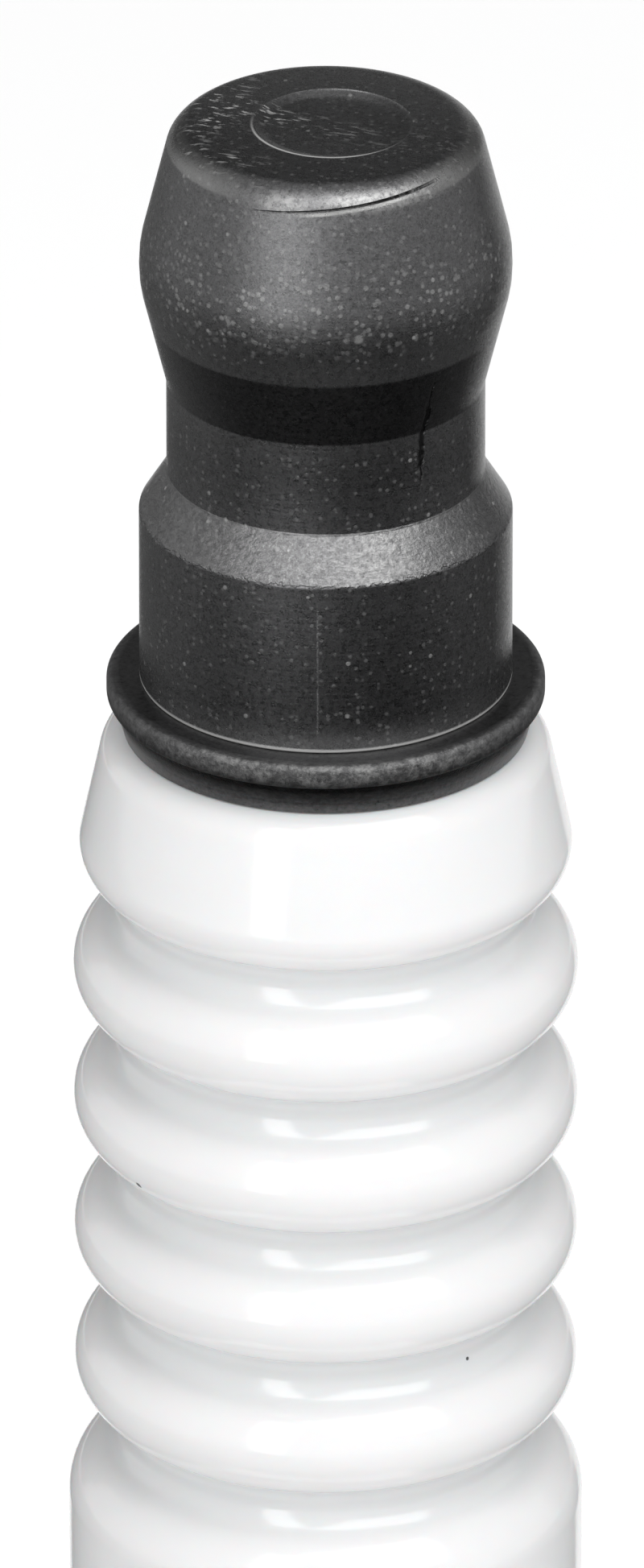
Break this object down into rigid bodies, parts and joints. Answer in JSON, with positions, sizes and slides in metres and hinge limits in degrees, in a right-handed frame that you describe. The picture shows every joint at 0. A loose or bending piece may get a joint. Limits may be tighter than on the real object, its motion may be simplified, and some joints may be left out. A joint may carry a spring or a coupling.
{
  "type": "spark plug with ribbed porcelain insulator",
  "caption": "Slim spark plug: ribbed white glazed insulator with a dark round terminal nut on top, over a hexagonal steel shell with a fine thread, gasket and spark gap.",
  "frame": {"origin": "on the plug's axis, in the plane of the gasket's sealing face, where the thread goes into its hole", "axes": "+Z along the plug towards the terminal, +X towards the side electrode and square to one flat of the hexagon"},
  "size_m": [0.016, 0.0184, 0.0741],
  "materials": {
    "dark_nut_steel": "satin",
    "dark_stem_steel": "satin",
    "white_glaze": "gloss",
    "seal_glass": "satin",
    "resistor_ceramic": "matte",
    "nickel": "satin",
    "copper": "satin",
    "plated_shell": "satin",
    "washer_steel": "satin",
    "talc": "matte",
    "gasket_steel": "satin"
  },
  "bodies": {
    "plug": {"terminal_stem": "dark_stem_steel", "insulator": "white_glaze", "upper_glass_seal": "seal_glass", "resistor": "resistor_ceramic", "lower_glass_seal": "seal_glass", "centre_electrode": "nickel", "copper_core": "copper", "shell": "plated_shell", "seat_washer": "washer_steel", "lower_wire_ring": "washer_steel", "talc_packing": "talc", "upper_wire_ring": "washer_steel", "side_electrode": "nickel"},
    "nut": {"terminal_nut": "dark_nut_steel"},
    "gasket_ring": {"gasket": "gasket_steel"}
  },
  "joints": [
    {"name": "nut_lift", "type": "slide", "parent": "plug", "child": "nut", "axis": [0, 0, 1], "range_m": [0, 0.0084]},
    {"name": "gasket_play", "type": "slide", "parent": "plug", "child": "gasket_ring", "axis": [0, 0, -1], "range_m": [0, 0.0008]}
  ]
}
